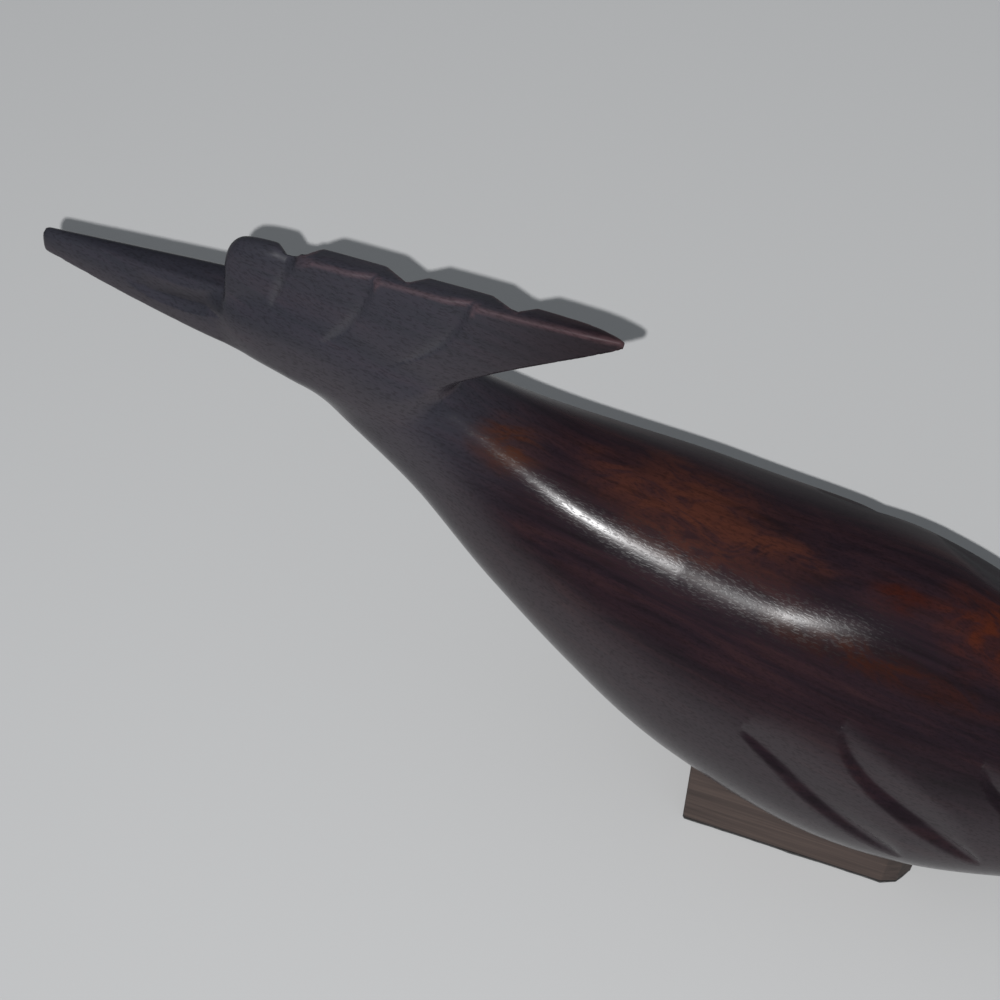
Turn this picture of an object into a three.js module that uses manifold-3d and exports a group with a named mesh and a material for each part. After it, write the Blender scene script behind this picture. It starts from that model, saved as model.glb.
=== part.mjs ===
// Roadrunner ornament carved from dark polished hardwood, with a pegged tail, on a small sawn block.
// Millimetres, +Z up. The bird faces -X, and the origin is the middle of the underside of the foot.

import * as THREE from "three";
import { mergeVertices } from "three/addons/utils/BufferGeometryUtils.js";
import Module from "manifold-3d";

const wasm = await Module();
wasm.setup();

// Gap left between two pieces that touch on the real object
const JOINT_GAP = 0.3;

// Trunk, from the throat to the rump
const BODY_LENGTH = 151.5;
const BODY_WIDTH = 41.2;
const BODY_DEPTH = 51;
const BELLY_HEIGHT = 6.8;
const NECK_RISE = 41.9;

// Head and crest, from the face back to the crest's tip, and up from the eye line
const CREST_LENGTH = 53;
const CREST_RISE = 14.8;
const CREST_THICKNESS = 2.8;
const CHEEK_WIDTH = 11.4;
const CHEEK_KEEL = 3.4;
const FACE_OVERHANG = 3.5;

// Beak, from its tip to the face, and up from the eye line
const BEAK_LENGTH = 28.2;
const BEAK_RISE = 4.8;
const BEAK_TOP_WIDTH = 4.8;
const BEAK_ROOT_WIDTH = 9.6;
const BEAK_KEEL = 2.6;

// Channel gouged along each side of the beak, square at the face and running out towards the tip
const CHANNEL_LENGTH = 18;
const CHANNEL_WIDTH = 5.4;
const CHANNEL_DEPTH = 1.3;

// Tail blade, from the rump to its tip
const TAIL_LENGTH = 97;
const TAIL_RISE = 11.9;
const TAIL_WIDTH = 25.2;
const TAIL_THICKNESS = 5.4;
const TAIL_NOTCH_RUN = 9;
const TAIL_NOTCH_LEAN = 2;
const TAIL_NOTCH_BITE = 4.2;

// Feather cuts of the wings and of the crest
const WING_CUT_WIDTH = 5.6;
const WING_CUT_DEPTH = 2.1;
const CREST_CUT_RUN = 7;
const CREST_CUT_DROP = 11;
const CREST_CUT_WIDTH = 4.6;
const NEAR_CREST_CUT_DEPTH = 1.1;
const FAR_CREST_CUT_DEPTH = 1.9;

// Foot: a sawn block, coped to the belly, on a sheet of felt
const BLOCK_LENGTH = 34.6;
const BLOCK_WIDTH = 29.8;
const BLOCK_FRONT_CHAMFER = 0.9;
const BLOCK_REAR_CHAMFER = 3.4;
const FELT_THICKNESS = 0.8;
const FELT_INSET = 0.2;

// Two upright dowels hold the block to the belly
const FOOT_DOWEL_DIAMETER = 6;
const FOOT_DOWEL_SPACING = 18;
const FOOT_DOWEL_FLOOR = 1.6;
const FOOT_DOWEL_IN_BODY = 13;

// Two lengthwise dowels hold the tail to the rump
const TAIL_DOWEL_DIAMETER = 4;
const TAIL_DOWEL_SPACING = 9;
const TAIL_DOWEL_IN_BODY = 12;
const TAIL_DOWEL_IN_TAIL = 10;

// Where the middle of the foot stands, as a share of the trunk's length
const FOOT_AT = 0.564;

// Trunk's form, throat first, as shares of its length, rise, depth and width; the pear share
// makes a section narrower above its axis and wider below it
const TRUNK_FORM = [
  { along: 0, rise: 1, depth: 0.22, width: 0.233, pear: 0 },
  { along: 0.059, rise: 0.944, depth: 0.288, width: 0.258, pear: 0 },
  { along: 0.119, rise: 0.815, depth: 0.34, width: 0.316, pear: 0 },
  { along: 0.185, rise: 0.655, depth: 0.41, width: 0.42, pear: 0 },
  { along: 0.271, rise: 0.452, depth: 0.559, width: 0.631, pear: 0 },
  { along: 0.363, rise: 0.27, depth: 0.737, width: 0.814, pear: 0.026 },
  { along: 0.462, rise: 0.107, depth: 0.886, width: 0.947, pear: 0.07 },
  { along: 0.574, rise: 0, depth: 1, width: 1, pear: 0.142 },
  { along: 0.673, rise: -0.071, depth: 0.94, width: 0.953, pear: 0.179 },
  { along: 0.785, rise: -0.105, depth: 0.758, width: 0.798, pear: 0.161 },
  { along: 0.898, rise: -0.12, depth: 0.517, width: 0.62, pear: 0.136 },
  { along: 1, rise: -0.112, depth: 0.345, width: 0.578, pear: 0.11 },
];
const SECTION_ROUNDNESS = 2.15;

// Tail's form, behind the rump, as shares of its length, rise, thickness and width
const TAIL_FORM = [
  { along: 0.144, rise: 0.134, depth: 2, width: 0.857, pear: 0.08 },
  { along: 0.392, rise: 0.37, depth: 1.222, width: 0.889, pear: 0.06 },
  { along: 0.701, rise: 0.689, depth: 1, width: 1, pear: 0.04 },
  { along: 0.928, rise: 0.924, depth: 0.815, width: 0.921, pear: 0.02 },
  { along: 1, rise: 1, depth: 0.444, width: 0.587, pear: 0 },
];

// Head's form, face first: heights of top and cheek line as shares of the crest's rise,
// with the crest narrow along the top, widest at the cheek line and rounded below it
const HEAD_FORM = [
  { along: 0, top: 0.797, cheek: -0.149, keel: 0.765, thick: 0.857, wide: 0.825 },
  { along: 0.03, top: 0.905, cheek: -0.176, keel: 0.882, thick: 0.929, wide: 0.86 },
  { along: 0.189, top: 0.946, cheek: -0.243, keel: 1, thick: 1, wide: 1 },
  { along: 0.425, top: 0.966, cheek: -0.189, keel: 0.882, thick: 1, wide: 0.912 },
  { along: 0.717, top: 0.993, cheek: 0.365, keel: 0.353, thick: 1, wide: 0.404 },
  { along: 0.906, top: 1, cheek: 0.757, keel: 0.176, thick: 0.786, wide: 0.228 },
  { along: 1, top: 0.986, cheek: 0.912, keel: 0.088, thick: 0.357, wide: 0.105 },
];

// Beak's form, tip first and running on inside the head, its lower band flush with the cheeks
const BEAK_FORM = [
  { along: 0, top: 0.833, cheek: 0.417, keel: 0.154, thick: 0.333, wide: 0.188 },
  { along: 0.486, top: 0.958, cheek: -0.167, keel: 0.462, thick: 0.75, wide: 0.583 },
  { along: 1.106, top: 1, cheek: -0.625, keel: 1, thick: 1, wide: 1 },
];

// Wing cuts of each side, from the back to the belly: shares of the trunk, and degrees from the spine
const NEAR_WING_CUTS = [
  { from: 0.482, fromAngle: 76, to: 0.666, toAngle: 110 },
  { from: 0.558, fromAngle: 60, to: 0.726, toAngle: 103 },
  { from: 0.693, fromAngle: 59, to: 0.841, toAngle: 101 },
  { from: 0.812, fromAngle: 57, to: 0.937, toAngle: 97 },
];
const FAR_WING_CUTS = [
  { from: 0.445, fromAngle: 34, to: 0.617, toAngle: 100 },
  { from: 0.571, fromAngle: 25, to: 0.723, toAngle: 97 },
  { from: 0.696, fromAngle: 29, to: 0.835, toAngle: 95 },
  { from: 0.808, fromAngle: 34, to: 0.927, toAngle: 92 },
];

// Crest cuts and tail notches, where they cross the edge, as shares of the crest and of the tail
const NEAR_CREST_CUTS = [0.158, 0.374, 0.614];
const FAR_CREST_CUTS = [0.185, 0.457, 0.727];
const TAIL_NOTCHES = [0.412, 0.577, 0.742];

// Fineness of the surfaces
const RING_POINTS = 32;
const TRUNK_RINGS = 42;
const TAIL_RINGS = 20;
const HEAD_RINGS = 24;
const BEAK_RINGS = 8;
const FLARE_POINTS = 6;
const KEEL_POINTS = 3;
const WING_CUT_RINGS = 9;
const CREST_CUT_RINGS = 6;
const CHANNEL_RINGS = 4;
const DOWEL_SIDES = 20;

// Polished heartwood, sawn block, birch dowels and felt
const HEARTWOOD = { color: 0x3a211a, roughness: 0.28, metalness: 0 };
const SAWN_WOOD = { color: 0x46392f, roughness: 0.75, metalness: 0 };
const DOWEL_WOOD = { color: 0xc9a875, roughness: 0.7, metalness: 0 };
const FELT = { color: 0x1f1b19, roughness: 1, metalness: 0 };

// A closed mesh as a solid that can be joined and cut.
function solid(geometry) {
  const bare = geometry.index ? geometry.toNonIndexed() : geometry;
  const points = new THREE.BufferGeometry();
  points.setAttribute("position", bare.getAttribute("position"));
  const merged = mergeVertices(points, 1e-4);
  const vertProperties = merged.attributes.position.array;
  const triVerts = new Uint32Array(merged.index.array);
  return new wasm.Manifold(new wasm.Mesh({ numProp: 3, vertProperties, triVerts }));
}

// A finished solid as one named mesh.
function piece(name, shape, finish) {
  const { vertProperties, triVerts } = shape.getMesh();
  const geometry = new THREE.BufferGeometry();
  geometry.setAttribute("position", new THREE.BufferAttribute(vertProperties, 3));
  geometry.setIndex(new THREE.BufferAttribute(triVerts, 1));
  geometry.computeVertexNormals();
  const mesh = new THREE.Mesh(geometry, new THREE.MeshStandardMaterial(finish));
  mesh.name = name;
  return mesh;
}

// A skin over rings of points, closed at both ends; each ring turns about the way the rings run.
function loft(rings) {
  const around = rings[0].length;
  const middle = (ring) => ring.reduce((sum, p) => sum.add(p), new THREE.Vector3()).divideScalar(around);
  const points = [...rings.flat(), middle(rings[0]), middle(rings.at(-1))];
  const first = points.length - 2;
  const last = points.length - 1;
  const lastRing = (rings.length - 1) * around;
  const faces = [];
  for (let j = 0; j < around; j += 1) {
    const next = (j + 1) % around;
    for (let start = 0; start < lastRing; start += around) {
      const [a, b] = [start + j, start + next];
      faces.push(a, b, a + around, b, b + around, a + around);
    }
    faces.push(first, next, j, last, lastRing + j, lastRing + next);
  }
  const geometry = new THREE.BufferGeometry().setFromPoints(points);
  geometry.setIndex(faces);
  return geometry;
}

// A smooth reading of a table of stations, at 0 for its first row and 1 for its last.
function smoothTable(rows) {
  const names = Object.keys(rows[0]);
  const curves = names.map((name) => {
    return new THREE.SplineCurve(rows.map((row, i) => new THREE.Vector2(i, row[name])));
  });
  return (t) => Object.fromEntries(names.map((name, k) => [name, curves[k].getPoint(t).y]));
}

// Stations of the trunk: axis in the mid plane, and half sizes square to it.
const axisHeight = BELLY_HEIGHT + BODY_DEPTH / 2;
const trunk = TRUNK_FORM.map(({ along, rise, depth, width, pear }) => ({
  x: BODY_LENGTH * (along - FOOT_AT),
  z: axisHeight + NECK_RISE * rise,
  halfHeight: (BODY_DEPTH / 2) * depth,
  halfWidth: (BODY_WIDTH / 2) * width,
  pear,
}));
const throat = trunk[0];
const rump = trunk.at(-1);

// Stations of the tail, which go on from the rump.
const tail = TAIL_FORM.map(({ along, rise, depth, width, pear }) => ({
  x: rump.x + TAIL_LENGTH * along,
  z: rump.z + TAIL_RISE * rise,
  halfHeight: (TAIL_THICKNESS / 2) * depth,
  halfWidth: (TAIL_WIDTH / 2) * width,
  pear,
}));

// Upright sections of the head, which sits on the throat with its face a little ahead of it.
const faceX = throat.x - FACE_OVERHANG;
const head = HEAD_FORM.map(({ along, top, cheek, keel, thick, wide }) => ({
  x: faceX + CREST_LENGTH * along,
  top: throat.z + CREST_RISE * top,
  cheek: throat.z + CREST_RISE * cheek,
  keel: CHEEK_KEEL * keel,
  halfTop: (CREST_THICKNESS / 2) * thick,
  halfCheek: (CHEEK_WIDTH / 2) * wide,
}));

// Upright sections of the beak, which grows out of the face.
const beak = BEAK_FORM.map(({ along, top, cheek, keel, thick, wide }) => ({
  x: faceX + BEAK_LENGTH * (along - 1),
  top: throat.z + BEAK_RISE * top,
  cheek: throat.z + BEAK_RISE * cheek,
  keel: BEAK_KEEL * keel,
  halfTop: (BEAK_TOP_WIDTH / 2) * thick,
  halfCheek: (BEAK_ROOT_WIDTH / 2) * wide,
}));

// The bent axis of trunk and tail, the place on it where the two meet, and head and beak
const axisAt = smoothTable([...trunk, ...tail]);
const RUMP_AT = (trunk.length - 1) / (trunk.length + tail.length - 1);
const headAt = smoothTable(head);
const beakAt = smoothTable(beak);

// A point of a rounded section square to the bent axis, by its angle from the top towards -Y.
function sectionPoint(t, angle, grow = 0) {
  const step = 0.002;
  const { x, z, halfHeight, halfWidth, pear } = axisAt(t);
  const before = axisAt(Math.max(0, t - step));
  const after = axisAt(Math.min(1, t + step));
  const slope = Math.atan2(after.z - before.z, after.x - before.x);
  const rounded = (v) => Math.sign(v) * Math.abs(v) ** (2 / SECTION_ROUNDNESS);
  const up = (halfHeight + grow) * rounded(Math.cos(angle));
  const swell = 1 - pear * rounded(Math.cos(angle));
  const across = (halfWidth + grow) * swell * rounded(Math.sin(angle));
  return new THREE.Vector3(x - Math.sin(slope) * up, -across, z + Math.cos(slope) * up);
}

// The rounded body along a stretch of the axis, grown by a gap where it serves as a cutter.
function axisLoft(from, to, ringCount, grow = 0) {
  const rings = [];
  for (let i = 0; i <= ringCount; i += 1) {
    const t = from + ((to - from) * i) / ringCount;
    const ring = [];
    for (let j = 0; j < RING_POINTS; j += 1) {
      ring.push(sectionPoint(t, (2 * Math.PI * j) / RING_POINTS, grow));
    }
    rings.push(ring);
  }
  return loft(rings);
}

// Where along a rising reading it reaches a value, by halving.
function solveAlong(reading, value) {
  let [low, high] = [0, 1];
  for (let i = 0; i < 40; i += 1) {
    const middle = (low + high) / 2;
    if (reading(middle) < value) low = middle;
    else high = middle;
  }
  return low;
}

// The height of the belly line in the mid plane.
function bellyHeight(x) {
  const t = solveAlong((v) => sectionPoint(v, Math.PI).x, x);
  return sectionPoint(t, Math.PI).z;
}

// A point on the side of an upright section, by how far down it lies from the top to the cheek line.
function flarePoint({ x, top, cheek, halfTop, halfCheek }, down, sideSign) {
  const half = halfTop + (halfCheek - halfTop) * Math.sin((Math.min(1, down) * Math.PI) / 2);
  return new THREE.Vector3(x, -sideSign * half, top + (cheek - top) * down);
}

// Upright sections with a flat top, sides that flare on the way down, and a rounded keel.
function flaredLoft(at, ringCount) {
  const rings = [];
  for (let i = 0; i <= ringCount; i += 1) {
    const row = at(i / ringCount);
    const side = [];
    for (let k = 0; k <= FLARE_POINTS; k += 1) {
      side.push(flarePoint(row, k / FLARE_POINTS, 1));
    }
    for (let k = 1; k < KEEL_POINTS; k += 1) {
      const turn = (k / KEEL_POINTS) * (Math.PI / 2);
      const z = row.cheek - row.keel * Math.sin(turn);
      side.push(new THREE.Vector3(row.x, -row.halfCheek * Math.cos(turn), z));
    }
    const other = side.map((p) => new THREE.Vector3(p.x, -p.y, p.z)).reverse();
    rings.push([...side, new THREE.Vector3(row.x, 0, row.cheek - row.keel), ...other]);
  }
  return loft(rings);
}

// A V-shaped cut along a path on a surface, full in its middle and running out at its ends.
function veeCut(surfaceAt, ringCount, width, depth, fullness) {
  const rings = [];
  for (let i = 0; i <= ringCount; i += 1) {
    const u = i / ringCount;
    const here = surfaceAt(u);
    const way = surfaceAt(u + 0.01).point.sub(surfaceAt(u - 0.01).point).normalize();
    const side = new THREE.Vector3().crossVectors(way, here.normal).normalize();
    const full = fullness(u);
    const deep = here.point.clone().addScaledVector(here.normal, -depth * full);
    const rim = here.point.clone().addScaledVector(here.normal, depth);
    const half = (width / 2) * full * ((depth + depth * full) / (depth * full));
    rings.push([
      rim.clone().addScaledVector(side, -half),
      rim.clone().addScaledVector(side, half),
      deep,
    ]);
  }
  return solid(loft(rings));
}

// One wing cut: over the flank from its upper end near the back to its lower end at the belly.
function wingCut({ from, fromAngle, to, toAngle }, sideSign) {
  const surfaceAt = (u) => {
    const x = BODY_LENGTH * (from + (to - from) * u - FOOT_AT);
    const t = solveAlong((v) => axisAt(v).x, x);
    const bend = fromAngle + (toAngle - fromAngle) * u ** 1.4 || fromAngle;
    const angle = sideSign * THREE.MathUtils.degToRad(bend);
    const point = sectionPoint(t, angle);
    const along = sectionPoint(t + 0.004, angle).sub(point);
    const around = sectionPoint(t, angle + 0.02).sub(point);
    return { point, normal: new THREE.Vector3().crossVectors(around, along).normalize() };
  };
  const fullness = (u) => 0.12 + 0.88 * Math.sin(Math.PI * u) ** 0.7;
  return veeCut(surfaceAt, WING_CUT_RINGS, WING_CUT_WIDTH, WING_CUT_DEPTH, fullness);
}

// One crest cut: from the top edge down and forward over the side of the crest.
function crestCut(at, sideSign, depth) {
  const surfaceAt = (u) => {
    const x = faceX + CREST_LENGTH * at - CREST_CUT_RUN * u;
    const row = headAt(solveAlong((v) => headAt(v).x, x));
    const down = (CREST_CUT_DROP * u) / (row.top - row.cheek);
    return { point: flarePoint(row, down, sideSign), normal: new THREE.Vector3(0, -sideSign, 0) };
  };
  const overTop = (u) => surfaceAt(u * 1.15 - 0.15);
  const fullness = (u) => 0.12 + 0.88 * (1 - u) ** 0.8;
  return veeCut(overTop, CREST_CUT_RINGS, CREST_CUT_WIDTH, depth, fullness);
}

// One beak channel: from its shallow end back to the face.
function beakChannel(sideSign) {
  const surfaceAt = (u) => {
    const x = faceX - CHANNEL_LENGTH * (1 - u);
    const row = beakAt(solveAlong((v) => beakAt(v).x, x));
    return { point: flarePoint(row, 0.5, sideSign), normal: new THREE.Vector3(0, -sideSign, 0) };
  };
  const fullness = (u) => 0.15 + 0.85 * u;
  return veeCut(surfaceAt, CHANNEL_RINGS, CHANNEL_WIDTH, CHANNEL_DEPTH, fullness);
}

// A round bar along Y, before it is turned into place.
function roundBar(diameter, length) {
  return new THREE.CylinderGeometry(diameter / 2, diameter / 2, length, DOWEL_SIDES);
}

// The place of one foot dowel: its foot in the block and its head in the body.
function footDowelSpan(x) {
  return { x, low: FELT_THICKNESS + FOOT_DOWEL_FLOOR, high: bellyHeight(x) + FOOT_DOWEL_IN_BODY };
}

// One upright dowel, or with a gap the hole for it.
function footDowel({ x, low, high }, grow) {
  const bar = roundBar(FOOT_DOWEL_DIAMETER + 2 * grow, high - low + 2 * grow);
  bar.rotateX(Math.PI / 2).translate(x, 0, (low + high) / 2);
  return solid(bar);
}

// One lengthwise dowel across the rump joint, or with a gap the hole for it.
function tailDowel(y, grow) {
  const length = TAIL_DOWEL_IN_BODY + TAIL_DOWEL_IN_TAIL;
  const bar = roundBar(TAIL_DOWEL_DIAMETER + 2 * grow, length + 2 * grow);
  const middle = rump.x + (TAIL_DOWEL_IN_TAIL - TAIL_DOWEL_IN_BODY) / 2;
  bar.rotateZ(Math.PI / 2).translate(middle, y, rump.z);
  return solid(bar);
}

// An upright slab with cut corners, wider chamfers at the rear.
function chamferedSlab(length, width, bottom, top) {
  const [front, side] = [length / 2, width / 2];
  const outline = new THREE.Shape();
  outline.moveTo(-front + BLOCK_FRONT_CHAMFER, -side);
  outline.lineTo(front - BLOCK_REAR_CHAMFER, -side);
  outline.lineTo(front, -side + BLOCK_REAR_CHAMFER);
  outline.lineTo(front, side - BLOCK_REAR_CHAMFER);
  outline.lineTo(front - BLOCK_REAR_CHAMFER, side);
  outline.lineTo(-front + BLOCK_FRONT_CHAMFER, side);
  outline.lineTo(-front, side - BLOCK_FRONT_CHAMFER);
  outline.lineTo(-front, -side + BLOCK_FRONT_CHAMFER);
  outline.closePath();
  const slab = new THREE.ExtrudeGeometry(outline, { depth: top - bottom, bevelEnabled: false });
  return solid(slab.translate(0, 0, bottom));
}

// A wedge that bites a slanting notch into one edge of the tail.
function tailNotch(at, sideSign) {
  const x = rump.x + TAIL_LENGTH * at;
  const { z, halfHeight, halfWidth } = axisAt(solveAlong((v) => axisAt(v).x, x));
  const edge = halfWidth + TAIL_NOTCH_LEAN;
  const outline = new THREE.Shape();
  outline.moveTo(x, sideSign * edge);
  outline.lineTo(x + TAIL_NOTCH_RUN, sideSign * edge);
  outline.lineTo(x + TAIL_NOTCH_LEAN, sideSign * (halfWidth - TAIL_NOTCH_BITE));
  outline.closePath();
  const reach = halfHeight + TAIL_NOTCH_RUN;
  const wedge = new THREE.ExtrudeGeometry(outline, { depth: 2 * reach, bevelEnabled: false });
  return solid(wedge.translate(0, 0, z - reach));
}

const footDowels = [
  { name: "foot_dowel_front", ...footDowelSpan(-FOOT_DOWEL_SPACING / 2) },
  { name: "foot_dowel_rear", ...footDowelSpan(FOOT_DOWEL_SPACING / 2) },
];
const tailDowels = [
  { name: "tail_dowel_near", y: -TAIL_DOWEL_SPACING / 2 },
  { name: "tail_dowel_far", y: TAIL_DOWEL_SPACING / 2 },
];

// Beak, head, crest, neck and trunk, carved from one billet, with its feather cuts and dowel holes.
function carvedBody() {
  let body = solid(axisLoft(0, RUMP_AT, TRUNK_RINGS));
  let bill = solid(flaredLoft(beakAt, BEAK_RINGS));
  bill = bill.subtract(beakChannel(1)).subtract(beakChannel(-1));
  body = body.add(bill).add(solid(flaredLoft(headAt, HEAD_RINGS)));
  NEAR_WING_CUTS.forEach((cut) => (body = body.subtract(wingCut(cut, 1))));
  FAR_WING_CUTS.forEach((cut) => (body = body.subtract(wingCut(cut, -1))));
  NEAR_CREST_CUTS.forEach((at) => (body = body.subtract(crestCut(at, 1, NEAR_CREST_CUT_DEPTH))));
  FAR_CREST_CUTS.forEach((at) => (body = body.subtract(crestCut(at, -1, FAR_CREST_CUT_DEPTH))));
  footDowels.forEach((dowel) => (body = body.subtract(footDowel(dowel, JOINT_GAP))));
  tailDowels.forEach(({ y }) => (body = body.subtract(tailDowel(y, JOINT_GAP))));
  return body;
}

// The tail blade, which begins with the trunk's last section.
function carvedTail() {
  let blade = solid(axisLoft(RUMP_AT, 1, TAIL_RINGS).translate(JOINT_GAP, 0, 0));
  for (const at of TAIL_NOTCHES) {
    blade = blade.subtract(tailNotch(at, 1)).subtract(tailNotch(at, -1));
  }
  tailDowels.forEach(({ y }) => (blade = blade.subtract(tailDowel(y, JOINT_GAP))));
  return blade;
}

// The foot block, coped to the belly.
function sawnBlock() {
  let block = chamferedSlab(BLOCK_LENGTH, BLOCK_WIDTH, FELT_THICKNESS, axisHeight);
  block = block.subtract(solid(axisLoft(0, RUMP_AT, TRUNK_RINGS, JOINT_GAP)));
  footDowels.forEach((dowel) => (block = block.subtract(footDowel(dowel, JOINT_GAP))));
  return block;
}

// The felt under the block, a little smaller than it.
function feltPad() {
  const inset = 2 * FELT_INSET;
  return chamferedSlab(BLOCK_LENGTH - inset, BLOCK_WIDTH - inset, 0, FELT_THICKNESS);
}

const roadrunner = new THREE.Group();
roadrunner.add(piece("carved_body", carvedBody(), HEARTWOOD));
roadrunner.add(piece("tail", carvedTail(), HEARTWOOD));
roadrunner.add(piece("foot_block", sawnBlock(), SAWN_WOOD));
roadrunner.add(piece("felt_pad", feltPad(), FELT));
footDowels.forEach((dowel) => roadrunner.add(piece(dowel.name, footDowel(dowel, 0), DOWEL_WOOD)));
tailDowels.forEach(({ name, y }) => roadrunner.add(piece(name, tailDowel(y, 0), DOWEL_WOOD)));

export default roadrunner;
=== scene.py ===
import bpy
import numpy as np
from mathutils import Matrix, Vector


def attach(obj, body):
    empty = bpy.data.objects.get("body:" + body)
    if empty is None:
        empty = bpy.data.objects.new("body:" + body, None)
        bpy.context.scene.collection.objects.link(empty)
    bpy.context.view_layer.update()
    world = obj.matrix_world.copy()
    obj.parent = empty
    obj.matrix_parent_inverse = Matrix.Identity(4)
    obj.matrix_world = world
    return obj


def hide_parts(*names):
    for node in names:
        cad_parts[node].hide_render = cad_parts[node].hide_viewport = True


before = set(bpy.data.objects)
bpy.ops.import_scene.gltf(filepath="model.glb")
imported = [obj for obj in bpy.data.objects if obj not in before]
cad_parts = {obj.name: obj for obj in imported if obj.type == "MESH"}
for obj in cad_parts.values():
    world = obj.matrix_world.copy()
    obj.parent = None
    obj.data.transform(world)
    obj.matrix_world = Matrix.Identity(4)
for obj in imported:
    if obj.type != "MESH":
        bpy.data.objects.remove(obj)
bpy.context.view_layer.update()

# Carved body
# The bird from beak to rump is one billet of desert ironwood. Its side outline is sawn first, the trunk, neck
# and head are rounded with rasps, the feather marks are cut with a gouge, and the whole is sanded and waxed.

# Stations of the middle line from throat to tail tip: x, height, half depth and half width in mm, and the
# pear share, by which a section is narrower above the line and wider below it.
MIDDLE_LINE = [
    (-94.0, 75.6, 2.2, 1.9, 0.0),
    (-89.6, 75.0, 5.2, 4.25, 0.0),
    (-85.45, 74.1, 6.4, 5.2, 0.0),
    (-76.5, 71.8, 7.2, 5.3, 0.0),
    (-67.4, 66.1, 8.8, 6.7, 0.0),
    (-57.4, 59.45, 10.6, 8.8, 0.0),
    (-44.4, 50.85, 14.45, 13.25, 0.0),
    (-30.45, 43.4, 19.0, 17.05, 0.026),
    (-15.45, 36.55, 22.95, 19.85, 0.07),
    (1.5, 32.0, 25.75, 20.85, 0.142),
    (16.5, 29.15, 24.1, 19.75, 0.179),
    (33.5, 27.89, 19.33, 16.44, 0.161),
    (50.6, 27.26, 13.18, 12.77, 0.136),
    (66.05, 27.6, 8.8, 11.9, 0.11),
    (80.0, 29.2, 5.4, 10.8, 0.08),
    (104.1, 32.0, 3.3, 11.2, 0.06),
    (134.05, 35.8, 2.7, 12.6, 0.04),
    (156.1, 38.6, 2.2, 11.6, 0.02),
    (163.05, 39.5, 1.2, 7.4, 0.0),
]
THROAT, RUMP, TAIL_TIP = -94.0, 66.05, 163.05
SECTION_POWER = 2.15

# Stations of the head and of the beak: x, top, height of the cheeks, keel below them, half top, half cheeks.
HEAD_STATIONS = [
    (-89.6, 85.6, 72.0, 2.6, 1.2, 4.2),
    (-87.4, 87.85, 71.7, 2.8, 1.3, 4.25),
    (-82.9, 88.35, 71.1, 3.0, 1.35, 4.6),
    (-80.1, 87.6, 70.75, 3.1, 1.4, 4.8),
    (-77.5, 88.7, 70.6, 3.2, 1.4, 4.9),
    (-66.4, 88.8, 71.4, 3.0, 1.4, 4.9),
    (-50.95, 89.05, 79.6, 1.2, 1.4, 2.3),
    (-40.9, 89.2, 85.4, 0.6, 1.1, 1.3),
    (-35.95, 88.75, 87.9, 0.2, 0.3, 0.35),
]
BEAK_STATIONS = [
    (-117.45, 78.95, 76.1, 0.5, 0.55, 1.2),
    (-103.4, 79.95, 73.35, 1.3, 0.8, 2.9),
    (-89.6, 80.85, 71.8, 2.5, 1.05, 4.45),
    (-82.0, 81.2, 71.6, 2.4, 1.0, 4.2),
]
FACE, CREST_TIP = HEAD_STATIONS[0][0], HEAD_STATIONS[-1][0]
BEAK_TIP, BEAK_ROOT = BEAK_STATIONS[0][0], BEAK_STATIONS[-1][0]
# Behind the round brow the top edges of the crest get crisp, and its top is wider on the far side and slopes
# down to it.
BROW_END, BEVEL_START = (-80, -77), (-81, -77)
BROW_ROUND, CREST_ROUND, BEVEL_ROUND = 1.6, 0.5, 0.25
FAR_TOP_SHARE, CREST_BEVEL = 1.64, np.radians(25)
# Fillets where the neck meets the head, by x, and where both meet the beak, and the roundings of the ends.
NECK_FILLET_X, NECK_FILLET, BEAK_FILLET = (-90, -80, -54, -44), (0.4, 4.0, 5.0, 0.8), 0.6
THROAT_ROUND, FACE_ROUND, CREST_TIP_ROUND = 1.0, 1.0, 0.6
BEAK_EDGE_ROUND, BEAK_TIP_ROUND, RUMP_ROUND = 0.8, 0.9, 0.3

# Feather gouges: points along each valley as x and degrees from the back, then the width of the front wall,
# the width of the rear wall and the depth of each.
NEAR_GOUGES = [
    [(-12.2, 79.6), (-8.2, 83.2), (-3.1, 88.5), (4.4, 96.7), (11.4, 105.2), (15.6, 111.0)],
    [(-1.0, 62.5), (1.7, 70.3), (6.2, 77.9), (11.9, 84.4), (18.0, 91.6), (25.2, 104.0)],
    [(19.4, 58.5), (22.5, 66.0), (27.0, 74.5), (32.5, 83.0), (38.0, 91.5), (43.5, 101.5)],
    [(37.6, 56.0), (40.4, 63.0), (44.5, 71.0), (48.5, 79.0), (53.0, 88.0), (57.5, 97.0)],
]
NEAR_WALLS = [(1.2, 6.0, 1.0), (1.4, 3.8, 1.15), (1.4, 3.6, 1.2), (1.3, 3.2, 1.1)]
FAR_GOUGES = [
    [(-16.5, 43.0), (-12.5, 43.0), (-9.0, 44.0), (-5.5, 50.0), (1.0, 67.0), (10.0, 98.0)],
    [(2.5, 40.0), (6.0, 36.0), (10.0, 33.0), (14.0, 34.0), (19.0, 42.0), (25.0, 58.0), (33.0, 88.0)],
    [(21.0, 45.0), (26.0, 50.0), (31.0, 58.0), (37.0, 70.0), (45.0, 94.0)],
    [(39.0, 46.0), (43.0, 54.0), (48.0, 68.0), (55.0, 94.0)],
]
FAR_WALLS = [(3.0, 3.0, 0.5), (5.5, 6.0, 0.85), (1.6, 5.0, 0.8), (1.5, 4.4, 0.75)]
GOUGE_FADE, GOUGE_VALLEY, GOUGE_RIM = 0.4, 0.4, 0.32
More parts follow.
